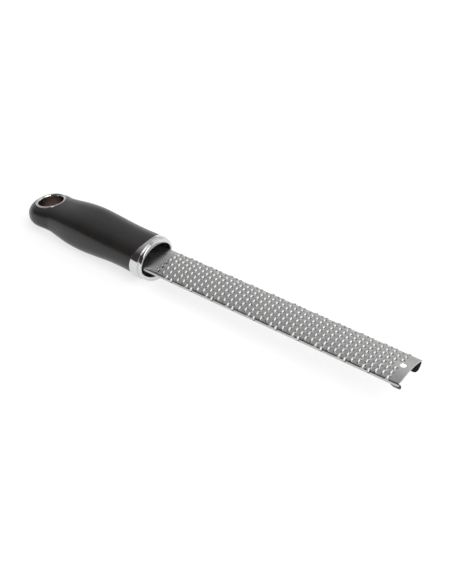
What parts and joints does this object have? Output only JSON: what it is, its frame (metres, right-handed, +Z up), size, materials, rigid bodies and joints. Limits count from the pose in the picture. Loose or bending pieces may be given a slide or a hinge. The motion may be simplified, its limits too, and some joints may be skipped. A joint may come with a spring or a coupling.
{
  "type": "rasp zester",
  "caption": "Hand-held rasp zester: an etched and folded steel blade in a chrome collar, on a soft-covered handle with a hanging hole.",
  "frame": {"origin": "centre of the bounding box's underside, with the tool lying on its collar and the belly of its handle", "axes": "+X along the tool towards the blade's tip, +Y across it, +Z up out of the cutting face"},
  "size_m": [0.3157, 0.0359, 0.0309],
  "materials": {
    "blade_steel": "satin, etched",
    "foot_rubber": "moulded",
    "collar_chrome": "polished",
    "core_plastic": "moulded",
    "cover_rubber": "satin",
    "eyelet_chrome": "polished"
  },
  "bodies": {
    "root": {"grater_blade": "blade_steel", "tip_foot_near": "foot_rubber", "tip_foot_far": "foot_rubber", "collar": "collar_chrome", "handle_core": "core_plastic", "grip_cover": "cover_rubber", "hanging_eyelet": "eyelet_chrome"}
  },
  "joints": []
}
